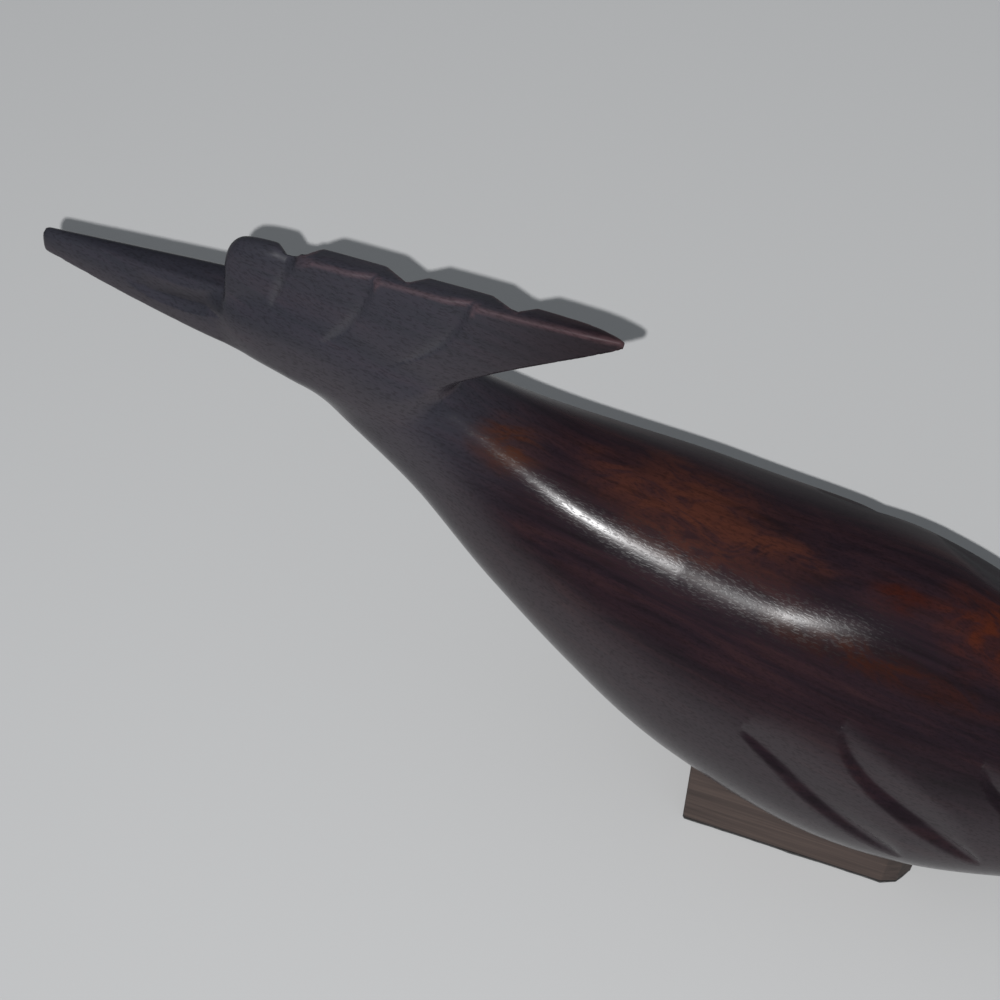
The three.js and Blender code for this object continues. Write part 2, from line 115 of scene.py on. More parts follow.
# Scoops in the crest, from one height down: the x of the upper end of each, its run along x and its drop,
# then the width of the front wall, the width of the rear wall and the depth.
NEAR_SCOOPS = [(-80.6, -1.9, -7.9), (-69.0, -6.4, -10.8), (-56.1, -8.6, -10.9)]
FAR_SCOOPS = [(-79.1, -7.0, -11.0), (-64.7, -7.0, -11.0), (-50.4, -7.0, -11.0)]
NEAR_SCOOP_WALLS, FAR_SCOOP_WALLS = (3.2, 0.9, 0.55), (3.6, 2.2, 2.3)
SCOOP_TOP, SCOOP_BOW, SCOOP_RIM = 88.4, 0.1, 0.12
# The channel along each side of the beak: points of its valley as x and height, the wall below the valley and
# the wall above it, the depth, and the run over which it gets that deep.
CHANNEL = [(-104.5, 76.4), (-100.0, 75.5), (-95.0, 75.5), (-89.6, 76.7)]
CHANNEL_BELOW, CHANNEL_ABOVE, CHANNEL_DEPTH, CHANNEL_RUN_IN = 0.9, 2.7, 0.85, 7.0
# Low waves that the rasp left along the near shoulder, as x and height. The shoulder's angle from the back
# changes along the trunk, and the waves spread round it and fade out at the back, in radians.
WAVES = [
    (-72.0, 0.0), (-67.0, 0.5), (-52.0, 0.05), (-42.0, -0.1), (-32.0, -0.42), (-20.0, -0.2), (-4.0, -0.27),
    (3.0, -0.25), (8.0, 0.0),
]
SHOULDER_X, SHOULDER_DEGREES, WAVE_SPREAD, BACK_FADE = (-45, -5), (33, 29), 0.42, 0.2


def smooth_rows(rows, count):
    """Rows of a table along one smooth curve: between two stations a cubic, whose slope at a station is half
    the difference of the stations on either side of it. The end stations count twice."""
    table = np.array([rows[0], *rows, rows[-1]], float)
    at = np.linspace(0, len(rows) - 1, count)
    span = np.minimum(at.astype(int), len(rows) - 2)
    t = (at - span)[:, None]
    before, here, after, beyond = (table[span + k] for k in range(4))
    leave, arrive = (after - before) / 2, (beyond - here) / 2
    return (here + leave * t + (3 * (after - here) - 2 * leave - arrive) * t**2
            + (2 * (here - after) + leave + arrive) * t**3)


line_x, line_z, line_depth, line_width, line_pear = smooth_rows(MIDDLE_LINE, 1600).T
line_slope = np.gradient(line_z, line_x)
head_table = smooth_rows(HEAD_STATIONS, 400)
beak_table = smooth_rows(BEAK_STATIONS, 200)
channel_x, channel_z = smooth_rows(CHANNEL, 80).T
wave_x, wave_height = smooth_rows(WAVES, 300).T


def share_of_way(value, start, end):
    """Share of the way from the start to the end, held between zero and one."""
    return np.clip((value - start) / (end - start), 0, 1)


def blend_max(a, b, reach):
    """The larger of two distances, rounded over where they differ by less than the reach."""
    return np.maximum(a, b) + np.maximum(reach - np.abs(a - b), 0) ** 2 / (4 * reach)


def blend_min(a, b, reach):
    """The smaller of two distances, with a fillet where they differ by less than the reach."""
    return -blend_max(-a, -b, reach)


def bar_on_middle_line(x, y, z):
    """Distance to a bar along the middle line whose section, square to the line, is a rounded oval: the half
    depth and half width shares of a point, each to the section power, add up to one on the skin. Also gives
    the foot on the line, the angle round the section from the back down, and the section's mean radius."""
    foot = x.copy()
    for _ in range(4):
        slope = np.interp(foot, line_x, line_slope)
        foot += ((x - foot) + (z - np.interp(foot, line_x, line_z)) * slope) / (1 + slope**2)
    slope = np.interp(foot, line_x, line_slope)
    over = ((z - np.interp(foot, line_x, line_z)) - (x - foot) * slope) / np.sqrt(1 + slope**2)
    depth, width = np.interp(foot, line_x, line_depth), np.interp(foot, line_x, line_width)
    width = width * (1 - np.interp(foot, line_x, line_pear) * np.clip(over / depth, -1.2, 1.2))
    up, out = np.maximum(np.abs(over) / depth, 1e-4), np.maximum(np.abs(y) / width, 1e-4)
    up_power, out_power = up**SECTION_POWER, out**SECTION_POWER
    reach = (up_power + out_power) ** (1 / SECTION_POWER)
    steepness = reach ** (1 - SECTION_POWER) * np.hypot(up_power / up / depth, out_power / out / width)
    angle = np.arctan2(np.sqrt(out_power), np.sign(over) * np.sqrt(up_power))
    return (reach - 1) / steepness, foot, angle, (depth + width) / 2


def wing_gouges(foot, angle, radius, gouges, walls):
    """Depth of V cuts that run down the flank: each starts and ends thin, is deepest in the middle, and
    follows a smooth curve through its points. Its front wall and its rear wall differ in width."""
    deepest = np.zeros_like(foot)
    for points, (front, rear, depth) in zip(gouges, walls):
        curve_x, curve_degrees = smooth_rows(points, 80).T
        way = share_of_way(foot, curve_x[0], curve_x[-1])
        past = np.maximum(curve_x[0] - foot, foot - curve_x[-1])
        valley = np.radians(np.interp(foot, curve_x, curve_degrees))
        slant = radius * np.radians(np.interp(foot, curve_x, np.gradient(curve_degrees, curve_x)))
        aside = radius * (angle - valley) / np.hypot(1, slant)
        full = np.sin(np.pi * way) ** GOUGE_FADE - np.maximum(past, 0)
        cut = depth * (full - blend_max(aside / front, -aside / rear, GOUGE_VALLEY))
        deepest = blend_max(deepest, cut, GOUGE_RIM)
    return deepest


def flared_bar(x, y, z, table, widen=1.0):
    """Distance to a bar whose sides flare out from its top to the cheeks as a quarter sine, with a half
    ellipse as keel below the cheeks, and the height over its flat top. The half top may be widened."""
    top, cheek, keel, half_top, half_cheek = (np.interp(x, table[:, 0], table[:, k]) for k in range(1, 6))
    half_top = half_top * widen
    swing = np.clip((top - z) / (top - cheek), 0, 1) * np.pi / 2
    lean = (half_cheek - half_top) * np.pi / 2 * np.cos(swing) / (top - cheek)
    side = (np.abs(y) - half_top - (half_cheek - half_top) * np.sin(swing)) / np.hypot(1, lean)
    out, below = y / half_cheek, np.maximum(cheek - z, 0) / keel
    ring = np.maximum(np.hypot(out, below), 1e-4)
    under = (ring - 1) * ring / np.maximum(np.hypot(out / half_cheek, below / keel), 1e-4)
    return np.where(z > cheek, side, under), z - top


def crest_scoops(x, z, scoops, walls):
    """Depth of cuts in the side view that run down and forward from the crest's top and fade out, with a long
    front wall and a short rear wall. A cut that runs forward by 6 mm or more has the full bow. Also gives the
    share of a painted grey sheen in the valley, more of it lower down."""
    front, rear, depth = walls
    deepest, valley_sheen = np.zeros_like(x), np.zeros_like(x)
    for top, run, drop in scoops:
        length = np.hypot(run, drop)
        way = ((x - top) * run + (z - SCOOP_TOP) * drop) / length**2
        aside = ((x - top) * -drop + (z - SCOOP_TOP) * run) / length
        aside = aside - SCOOP_BOW * length * np.clip(way * (1 - way), 0, 1) * 4 * np.clip(-run / 6, 0, 1)
        left = 1 - np.maximum(way, 0) ** 2
        full = np.where(left > 0, np.maximum(left, 0) ** 0.8, left)
        cut = full - np.abs(aside) / np.where(aside > 0, rear, front)
        deepest = blend_max(deepest, depth * cut, SCOOP_RIM)
        in_valley = np.clip(4 * cut, 0, 1) * np.exp(-((aside + 0.1) / 0.75) ** 2)
        valley_sheen = np.maximum(valley_sheen, in_valley * np.clip(3 * way - 0.6, 0, 1))
    return deepest, valley_sheen


def trunk_distance(x, y, z):
    """Distance to neck and trunk less the gouges in the flanks, with the rasp's waves on the near shoulder as
    a bell over the angle, and ended at the throat. Also gives the foot on the middle line."""
    trunk, foot, angle, radius = bar_on_middle_line(x, y, z)
    far = y > 0
    trunk += np.where(far, wing_gouges(foot, angle, radius, FAR_GOUGES, FAR_WALLS),
                      wing_gouges(foot, angle, radius, NEAR_GOUGES, NEAR_WALLS))
    shoulder = np.radians(np.interp(foot, SHOULDER_X, SHOULDER_DEGREES))
    on_shoulder = np.exp(-((angle - shoulder) / WAVE_SPREAD) ** 2) * (1 - np.exp(-((angle / BACK_FADE) ** 2)))
    trunk -= np.where(far, 0, np.interp(foot, wave_x, wave_height) * on_shoulder)
    return blend_max(trunk, THROAT - foot, THROAT_ROUND), foot


def head_distance(x, y, z):
    """Distance to head and crest: a flared bar less the scoops, below a top that slopes to the far side, and
    ended at the face and at the crest's tip."""
    far = y > 0
    widen = np.where(far, np.interp(x, BROW_END, (1.0, FAR_TOP_SHARE)), 1.0)
    head, over_top = flared_bar(x, y, z, head_table, widen)
    head += np.where(far, crest_scoops(x, z, FAR_SCOOPS, FAR_SCOOP_WALLS)[0],
                     crest_scoops(x, z, NEAR_SCOOPS, NEAR_SCOOP_WALLS)[0])
    not_yet = np.interp(x, BEVEL_START, (1.0, 0.0))
    bevel = y * np.sin(CREST_BEVEL) + over_top * np.cos(CREST_BEVEL) - not_yet
    over_top = blend_max(over_top, bevel, BEVEL_ROUND)
    head = blend_max(head, over_top, np.interp(x, BROW_END, (BROW_ROUND, CREST_ROUND)))
    head = blend_max(head, FACE - x, FACE_ROUND)
    return blend_max(head, x - CREST_TIP, CREST_TIP_ROUND)


def beak_distance(x, y, z):
    """Distance to the beak: a flared bar with a flat top, less a channel along each side that is deepest in
    its valley and runs out smoothly above and below it, and ended at the tip and inside the head."""
    beak, over_top = flared_bar(x, y, z, beak_table)
    way = share_of_way(x, channel_x[0], channel_x[0] + CHANNEL_RUN_IN)
    aside = z - np.interp(x, channel_x, channel_z)
    aside = np.where(aside > 0, aside / CHANNEL_ABOVE, -aside / CHANNEL_BELOW)
    beak += CHANNEL_DEPTH * way * np.maximum(1 - aside**1.5, 0) ** 1.5
    beak = blend_max(beak, over_top, BEAK_EDGE_ROUND)
    return np.maximum(blend_max(beak, BEAK_TIP - x, BEAK_TIP_ROUND), x - BEAK_ROOT)


def body_distance(points):
    """Distance to the whole carved body: trunk, head and beak joined by fillets, and cut off square to the
    middle line at the rump."""
    x, y, z = points.T
    trunk, foot = trunk_distance(x, y, z)
    whole = blend_min(trunk, head_distance(x, y, z), np.interp(x, NECK_FILLET_X, NECK_FILLET))
    whole = blend_min(whole, beak_distance(x, y, z), BEAK_FILLET)
    return blend_max(whole, foot - RUMP, RUMP_ROUND)


def skin_of(distance, axes, coarse=4, band=3.2, nudge=0.08):
    """Closed mesh where a distance is zero, on a grid with the given lines along each axis. The distance is
    worked out in full only near the skin: where the coarse cells, of four lines each, are within the band.
    Each cell that the skin crosses gets one point, the mean of the crossings on its edges, and each crossed
    edge a face between its four cells. The points then move onto the skin along its slope, which also gives
    their normals, and the sum of the second differences around a point tells ridges from hollows."""
    axes = [axis[:len(axis) // coarse * coarse] for axis in axes]
    middles = np.meshgrid(*[axis.reshape(-1, coarse).mean(1) for axis in axes], indexing="ij")
    rough = distance(np.stack(middles, -1).reshape(-1, 3)).reshape(middles[0].shape)
    value = rough.repeat(coarse, 0).repeat(coarse, 1).repeat(coarse, 2)
    near = np.nonzero(np.abs(value) < band)
    places = np.stack([axis[k] for axis, k in zip(axes, near)], 1)
    value[near] = np.concatenate([distance(part) for part in np.array_split(places, 8)])
    cells, crossings, turned = [], [], []
    for axis in range(3):
        along = [np.s_[:]] * 3
        along[axis] = np.s_[:-1]
        first = value[tuple(along)]
        along[axis] = np.s_[1:]
        second = value[tuple(along)]
        crossed = np.nonzero((first < 0) != (second < 0))
        a, b = first[crossed], second[crossed]
        edge = np.stack(crossed, 1).astype(float)
        edge[:, axis] += a / (a - b)
        corner = np.repeat(np.stack(crossed, 1)[:, None, :], 4, 1)
        corner[:, :, (axis + 1) % 3] -= np.array([1, 0, 0, 1])
        corner[:, :, (axis + 2) % 3] -= np.array([1, 1, 0, 0])
        cells.append(np.ravel_multi_index(tuple(corner.reshape(-1, 3).T), value.shape).reshape(-1, 4))
        crossings.append(edge)
        turned.append(a > 0)
    cells, crossings, turned = (np.concatenate(part) for part in (cells, crossings, turned))
    _, faces = np.unique(cells, return_inverse=True)
    faces = faces.reshape(-1, 4)
    count = np.bincount(faces.ravel())
    means = [np.bincount(faces.ravel(), np.repeat(crossings[:, k], 4)) / count for k in range(3)]
    points = np.stack([np.interp(mean, np.arange(len(axis)), axis) for mean, axis in zip(means, axes)], 1)
    nudges = nudge * np.eye(3)
    for _ in range(3):
        slope = np.stack([distance(points + n) - distance(points - n) for n in nudges], 1) / (2 * nudge)
        size = np.maximum((slope**2).sum(1), 0.05)
        points = points - slope * np.clip(distance(points) / size, -0.4, 0.4)[:, None]
    slope = np.stack([distance(points + n) - distance(points - n) for n in nudges], 1)
    normals = slope / np.maximum(np.linalg.norm(slope, axis=1), 1e-9)[:, None]
    ridge = sum(distance(points + 5 * n) + distance(points - 5 * n) for n in nudges) / (2 * nudge)
    faces[turned] = faces[turned, ::-1]
    return points, faces, normals, ridge


def make_piece(name, points, faces, normals=None):
    """Mesh object at the origin from points in mm and faces of three or four corners."""
    mesh = bpy.data.meshes.new(name)
    mesh.from_pydata((np.asarray(points) * 0.001).tolist(), [], [list(face) for face in faces])
    mesh.polygons.foreach_set("use_smooth", np.ones(len(mesh.polygons), bool))
    if normals is not None:
        mesh.normals_split_custom_set_from_vertices(np.asarray(normals).tolist())
    mesh.update()
    piece = bpy.data.objects.new(name, mesh)
    bpy.context.scene.collection.objects.link(piece)
    return piece


def mark(piece, name, values):
    """Stores one number for each point of a piece, which its material reads."""
    attribute = piece.data.attributes.new(name, "FLOAT", "POINT")
    attribute.data.foreach_set("value", values.astype(np.float32))


# Grid lines in mm, close on the head and wider on the trunk.
lines_x = np.concatenate([np.arange(-119, -37, 0.41), np.arange(-37, 69.5, 0.60)])
lines_y = np.arange(-24.5, 24.6, 0.52)
lines_z = np.concatenate([np.arange(1, 66, 0.58), np.arange(66, 92, 0.43)])
points, faces, normals, ridge = skin_of(body_distance, [lines_x, lines_y, lines_z])
carved_body = make_piece("carved_body_ironwood", points, faces.tolist(), normals)
x, y, z = points.T
# Edges along the crest's top, above 87 mm and behind the brow, that hands have rubbed lighter.
on_crest_top = np.clip(z - 87, 0, 1) * np.clip((x - BROW_END[0]) / 2, 0, 1)
mark(carved_body, "rubbed_edge", np.clip((ridge - 0.35) / 1.3, 0, 1) * on_crest_top)
# Painted sheen: grey in the near cuts of the crest, above 72 mm, and on the walls of the far gouges, below
# 70 mm, that face the far side.
near_crest = (y < 0) & (z > 72)
in_crest_cut = np.where(near_crest, crest_scoops(x, z, NEAR_SCOOPS, NEAR_SCOOP_WALLS)[1], 0)
_, foot, angle, radius = bar_on_middle_line(x, y, z)
in_far_gouge = np.clip(wing_gouges(foot, angle, radius, FAR_GOUGES, FAR_WALLS) / 0.12, 0, 1)
in_far_gouge *= np.clip((normals[:, 1] - 0.3) / 0.15, 0, 1) * (z < 70)
mark(carved_body, "painted_cut_sheen", np.maximum(in_crest_cut, in_far_gouge))
# Painted shade in the beak's channels, and a painted dark reflection in a strip along its top.
over_valley = z - np.interp(x, channel_x, channel_z)
in_channel = (share_of_way(x, channel_x[0], channel_x[0] + CHANNEL_RUN_IN)
              * np.clip(1 - over_valley / CHANNEL_ABOVE, 0, 1) * np.clip(over_valley / 0.4 + 0.6, 0, 1))
strip_depth = np.interp(x, (-116, -100, -90), (0.2, 1.3, 1.6))
on_top = np.clip((strip_depth + z - np.interp(x, beak_table[:, 0], beak_table[:, 1])) / 0.5, 0, 1)
mark(carved_body, "painted_beak_shade", np.where(x < FACE + 0.2, np.maximum(in_channel, on_top), 0))


def linear(code):
    """Linear colour of an sRGB hex code."""
    shares = np.array([int(code[k:k + 2], 16) for k in (1, 3, 5)]) / 255
    return (*np.where(shares <= 0.04045, shares / 12.92, ((shares + 0.055) / 1.055) ** 2.4), 1.0)


def blank_tree(owner):
    """Node tree of a material, a room or a lamp, emptied of what Blender puts there."""
    owner.use_nodes = True
    owner.node_tree.nodes.clear()
    return owner.node_tree


def put(tree, kind, inputs=None, stops=None, **settings):
    """Adds a node: settings are its own properties, inputs maps a socket's name or number to a value or to
    another node's output, and stops are a colour ramp's places and hex codes."""
    made = tree.nodes.new(kind)
    for name, value in settings.items():
        setattr(made, name, value)
    for name, value in (inputs or {}).items():
        if isinstance(value, bpy.types.NodeSocket):
            tree.links.new(value, made.inputs[name])
        else:
            made.inputs[name].default_value = value
    for number, (place, code) in enumerate(stops or []):
        while len(made.color_ramp.elements) <= number:
            made.color_ramp.elements.new(place)
        made.color_ramp.elements[number].position = place
        made.color_ramp.elements[number].color = linear(code)
    return made


# Waxed desert ironwood: nearly black heartwood with rust figure in long patches, fine open pores along the
# grain that speckle the gloss, and a soft wax polish over all.
ironwood = bpy.data.materials.new("waxed_desert_ironwood")
tree = blank_tree(ironwood)
place = put(tree, "ShaderNodeTexCoord").outputs["Object"]
up_the_bird = put(tree, "ShaderNodeSeparateXYZ", {0: place}).outputs["Z"]
facing = put(tree, "ShaderNodeNewGeometry").outputs["Normal"]
turned_up = put(tree, "ShaderNodeSeparateXYZ", {0: facing}).outputs["Z"]
# Coordinates in mm with their first axis along the grain, which falls 14 degrees from head to tail.
GRAIN_FALL = np.radians(14)
grain = put(tree, "ShaderNodeMapping", {
    "Vector": place, "Rotation": (0, -GRAIN_FALL, 0), "Scale": (1000,) * 3}).outputs[0]
grain_axes = put(tree, "ShaderNodeSeparateXYZ", {0: grain}).outputs

# Patterns in the wood: length and width of the strokes in mm, then detail, roughness and distortion. The
# edges of the rust patches wander, streaks shade the heartwood, and in the curls the rust comes and goes.
WOOD_PATTERNS = {
    "wander": (20, 7, 5.0, 0.6, 0.6),
    "streaks": (40, 2.6, 5.0, 0.65, 0.4),
    "curls": (9, 4, 4.0, 0.55, 2.0),
    "dark_lines": (22, 0.9, 3.0, 0.6, 0.0),
    "pores": (0.8, 0.25, 2.0, 0.5, 0.0),
}
pattern = {}
for name, (length, width, detail, roughness, distortion) in WOOD_PATTERNS.items():
    strokes = put(tree, "ShaderNodeMapping", {
        "Vector": grain, "Scale": (1 / length, 1 / width, 1 / width)}).outputs[0]
    pattern[name] = put(tree, "ShaderNodeTexNoise", {
        "Vector": strokes, "Scale": 1.0, "Detail": detail, "Roughness": roughness,
        "Distortion": distortion}).outputs["Fac"]

# The billet is slate black at the head and turns brown from the neck on. The slate's lighter grey is partly
# the head's own tone and partly a painted reflection of the pale table in the head's steep sides.
brown = put(tree, "ShaderNodeValToRGB", {0: pattern["streaks"]}, stops=[
    (0.30, "#181116"), (0.46, "#20161c"), (0.58, "#27191e"), (0.72, "#301e20")]).outputs["Color"]
slate = put(tree, "ShaderNodeValToRGB", {0: pattern["streaks"]}, stops=[
    (0.30, "#2d2d34"), (0.46, "#313138"), (0.60, "#35333b"), (0.75, "#3a343b")]).outputs["Color"]
towards_head = put(tree, "ShaderNodeMapRange", {0: grain_axes["X"], 1: -56.0, 2: -80.0},
                   interpolation_type="SMOOTHSTEP").outputs[0]
colour = put(tree, "ShaderNodeMix", {0: towards_head, 6: brown, 7: slate}, data_type="RGBA").outputs[2]

# Rust patches: the middle and the half sizes along and across the grain in mm, and the colour.
RUST_PATCHES = [
    ((-24.0, -1.0, 60.5), (17.0, 7.5, 8.0), "#45251c"),
    ((-49.5, -3.5, 66.5), (5.0, 3.5, 4.5), "#3e2218"),
    ((17.0, -2.5, 54.0), (8.0, 5.5, 5.5), "#482013"),
    ((4.5, -3.0, 57.0), (4.0, 2.6, 3.5), "#34150f"),
    ((2.0, -11.0, 53.0), (18.0, 2.4, 2.4), "#301610"),
    ((44.0, 6.0, 38.0), (16.0, 5.0, 6.0), "#482214"),
    ((-6.0, 17.0, 46.0), (22.0, 6.0, 5.0), "#432014"),
    ((96.0, -3.0, 33.0), (22.0, 4.0, 6.0), "#492314"),
    ((140.0, 5.0, 37.0), (18.0, 3.0, 6.0), "#3f1f14"),
]
fall_cos, fall_sin = np.cos(GRAIN_FALL), np.sin(GRAIN_FALL)
turn_to_grain = np.array([[fall_cos, 0, -fall_sin], [0, 1, 0], [fall_sin, 0, fall_cos]])
mottle = put(tree, "ShaderNodeMapRange", {0: pattern["curls"], 1: 0.36, 2: 0.60, 3: 0.25, 4: 1.0},
             interpolation_type="SMOOTHSTEP").outputs[0]
for middle, reach, code in RUST_PATCHES:
    away = put(tree, "ShaderNodeVectorMath", {0: grain, 1: turn_to_grain @ np.array(middle)},
               operation="SUBTRACT").outputs[0]
    away = put(tree, "ShaderNodeVectorMath", {0: away, 1: 1 / np.array(reach)},
               operation="MULTIPLY").outputs[0]
    out = put(tree, "ShaderNodeVectorMath", {0: away}, operation="LENGTH").outputs["Value"]
    edge = put(tree, "ShaderNodeMath", {0: pattern["wander"], 1: -1.8, 2: out},
               operation="MULTIPLY_ADD").outputs[0]
    inside = put(tree, "ShaderNodeMapRange", {0: edge, 1: 0.45, 2: -0.65},
                 interpolation_type="SMOOTHSTEP").outputs[0]
    share = put(tree, "ShaderNodeMath", {0: inside, 1: mottle}, operation="MULTIPLY").outputs[0]
    colour = put(tree, "ShaderNodeMix", {0: share, 6: colour, 7: linear(code)}, data_type="RGBA").outputs[2]

# Dark lines run through patches and heartwood alike, and are fainter on the head.
line_strength = put(tree, "ShaderNodeMapRange", {0: towards_head, 3: 0.4, 4: 0.1}).outputs[0]
dark_lines = put(tree, "ShaderNodeMapRange", {
    0: pattern["dark_lines"], 1: 0.50, 2: 0.75, 3: 0.0, 4: line_strength}).outputs[0]
# Painted reflection of the pale table: the flanks below the shoulders, which face sideways or down, are
# mixed towards a greyer brown, and the crest only a little.
most_table_sheen = put(tree, "ShaderNodeMapRange", {0: up_the_bird, 1: 0.072, 2: 0.084, 3: 0.5, 4: 0.1}).outputs[0]
table_sheen = put(tree, "ShaderNodeMapRange", {0: turned_up, 1: 0.44, 2: 0.10, 3: 0.0, 4: most_table_sheen},
             interpolation_type="SMOOTHSTEP").outputs[0]
# Rubbed edges are lighter and pinkish, the grey in the cuts is a painted sheen, painted shade darkens the
# beak's channels and top, and pores are dark.
rubbed_edge, cut_sheen, painted_beak_shade = (
    put(tree, "ShaderNodeAttribute", attribute_name=name).outputs["Fac"]
    for name in ("rubbed_edge", "painted_cut_sheen", "painted_beak_shade"))
open_pores = put(tree, "ShaderNodeMapRange", {0: pattern["pores"], 1: 0.50, 2: 0.66}).outputs[0]
# The grey on the flanks and in the cuts is painted reflection, and the dark on the beak is painted shade.
for trace, strength, code in (
        (dark_lines, 1.0, "#0d0708"), (table_sheen, 1.0, "#4a4447"), (rubbed_edge, 0.35, "#6a5053"),
        (cut_sheen, 0.4, "#4a494c"), (painted_beak_shade, 0.6, "#17181f"), (open_pores, 0.3, "#0b0607")):
    share = put(tree, "ShaderNodeMath", {0: trace, 1: strength}, operation="MULTIPLY").outputs[0]
    colour = put(tree, "ShaderNodeMix", {0: share, 6: colour, 7: linear(code)}, data_type="RGBA").outputs[2]

# The wax is glossy between the pores. The far flank and the top of the crest got less of it and are duller,
# and the wood is dullest where the grey sheen is painted in the cuts.
dullness = put(tree, "ShaderNodeMapRange", {0: open_pores, 3: 0.175, 4: 0.27}).outputs[0]
far_flank = put(tree, "ShaderNodeMapRange", {0: grain_axes["Y"], 1: 4.0, 2: 11.0}).outputs[0]
on_crest = put(tree, "ShaderNodeMapRange", {0: up_the_bird, 1: 0.080, 2: 0.086}).outputs[0]
for share, duller in ((far_flank, 0.5), (on_crest, 0.45), (cut_sheen, 0.7)):
    dullness = put(tree, "ShaderNodeMix", {0: share, 2: dullness, 3: duller}).outputs[0]
relief = put(tree, "ShaderNodeBump", {"Strength": 0.08, "Distance": 0.00003, "Height": open_pores},
             invert=True).outputs[0]
wood = put(tree, "ShaderNodeBsdfPrincipled", {
    "Base Color": colour, "Roughness": dullness, "Normal": relief, "IOR": 1.22})
put(tree, "ShaderNodeOutputMaterial", {"Surface": wood.outputs[0]})

carved_body.data.materials.append(ironwood)
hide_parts("carved_body")
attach(carved_body, "root")

# Tail
# The long blade behind the rump, sawn from the same wood and pegged to the body with two dowels along it. Its
# edges are notched into feather tips, and it is sanded and waxed with the body.

# Where the notches start, how long each is, the length over which it falls in, and its depth, in mm.
TAIL_NOTCHES = (106.0, 122.0, 138.0)
NOTCH_RUN, NOTCH_LEAN, NOTCH_BITE = 9.0, 2.0, 4.2
# Rings that close the root, rings along the blade, rings that close the tip, and points round each.
ROOT_RINGS, BLADE_RINGS, TIP_RINGS, TAIL_AROUND = 6, 420, 8, 96


def wrap(name, grid):
    """Closed mesh of a grid of rings in mm: quads between the rings, which close on themselves, and fans to
    one point in the middle of the first and of the last ring."""
    rings, around = grid.shape[:2]
    number = np.arange(rings * around).reshape(rings, around)
    after = np.roll(number, -1, 1)
    quads = np.stack([number[:-1], after[:-1], after[1:], number[1:]], -1).reshape(-1, 4).tolist()
    first, last = rings * around, rings * around + 1
    fans = np.stack([np.full(around, first), after[0], number[0]], -1).tolist()
    fans += np.stack([np.full(around, last), number[-1], after[-1]], -1).tolist()
    points = np.concatenate([grid.reshape(-1, 3), grid[0].mean(0)[None], grid[-1].mean(0)[None]])
    return make_piece(name, points, quads + fans)


def tail_blade():
    """Rounded ovals carried along the middle line behind the rump and closed flat at both ends. Each feather
    tip takes a bite out of the half width that falls in steeply and grows back along the run."""
    x = np.concatenate([np.full(ROOT_RINGS, RUMP), np.linspace(RUMP, TAIL_TIP, BLADE_RINGS),
                        np.full(TIP_RINGS, TAIL_TIP)])
    full = np.concatenate([np.linspace(0.05, 0.97, ROOT_RINGS), np.ones(BLADE_RINGS),
                           np.linspace(0.95, 0.05, TIP_RINGS)])
    columns = (line_z, line_depth, line_width, line_pear, line_slope)
    z, depth, width, pear, slope = (np.interp(x, line_x, column) for column in columns)
    bite = np.zeros_like(x)
    for notch in TAIL_NOTCHES:
        past = x - notch
        grown_back = (NOTCH_RUN - past) / (NOTCH_RUN - NOTCH_LEAN)
        bite = np.maximum(bite, NOTCH_BITE * np.clip(np.minimum(past / NOTCH_LEAN, grown_back), 0, 1))
    turn = np.linspace(0, 2 * np.pi, TAIL_AROUND, endpoint=False)
    side = np.sign(np.sin(turn)) * np.abs(np.sin(turn)) ** (2 / SECTION_POWER)
    up = np.sign(np.cos(turn)) * np.abs(np.cos(turn)) ** (2 / SECTION_POWER)
    over = (full * depth)[:, None] * up
    grid = np.stack([x[:, None] - over * (slope / np.hypot(1, slope))[:, None],
                     -(full * (width - bite))[:, None] * side * (1 - pear[:, None] * up),
                     z[:, None] + over / np.hypot(1, slope)[:, None]], -1)
    return wrap("tail_blade_ironwood", grid[::-1])


tail = tail_blade()
tail.data.set_sharp_from_angle(angle=np.radians(50))
tail.data.materials.append(ironwood)
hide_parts("tail")
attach(tail, "root")

# Foot block
# The sawn block that the bird stands on, of plainer brown wood, left as the saw cut it. Its top is coped to
# the belly and pegged to it with two dowels.

BLOCK_LENGTH, BLOCK_WIDTH, FELT_THICKNESS = 34.6, 29.8, 0.8
# The near corners as steps in from the block's ends and sides: two at the front, then three at the rear.
CORNER_STEPS = np.array([(0.0, 0.3), (0.3, 0.0), (3.8, 0.0), (1.6, 0.9), (0.0, 3.4)])
FRONT_STEPS = 2
# Rings on the underside, up the sides and over the top, and points round the outline.
UNDER_RINGS, SIDE_RINGS, TOP_RINGS, BLOCK_AROUND = 12, 26, 26, 260


def belly_height(x, y):
    """Height of the trunk's underside over a point of the floor, found by halving the span below the middle
    line 30 times."""
    low, high = np.zeros_like(x), np.interp(x, line_x, line_z)
    for _ in range(30):
        middle = (low + high) / 2
        outside = bar_on_middle_line(x, y, middle)[0] > 0
        low, high = np.where(outside, middle, low), np.where(outside, high, middle)
    return (low + high) / 2


def block_outline(inset, count):
    """Points round a rectangle with stepped corners, the same on both sides: evenly spaced along the outline,
    and one at each corner."""
    half_x, half_y = BLOCK_LENGTH / 2 - inset, BLOCK_WIDTH / 2 - inset
    in_from_end, in_from_side = CORNER_STEPS.T
    at_front = np.arange(len(CORNER_STEPS)) < FRONT_STEPS
    near_x = np.where(at_front, in_from_end - half_x, half_x - in_from_end)
    near = np.stack([near_x, in_from_side - half_y], -1)
    corners = np.concatenate([near, near[::-1] * (1, -1)])
    closed = np.concatenate([corners, corners[:1]])
    way = np.concatenate([[0], np.cumsum(np.hypot(*np.diff(closed, axis=0).T))])
    at = np.unique(np.concatenate([np.linspace(0, way[-1], count, endpoint=False), way[:-1]]))
    return np.stack([np.interp(at, way, closed[:, k]) for k in range(2)], -1)


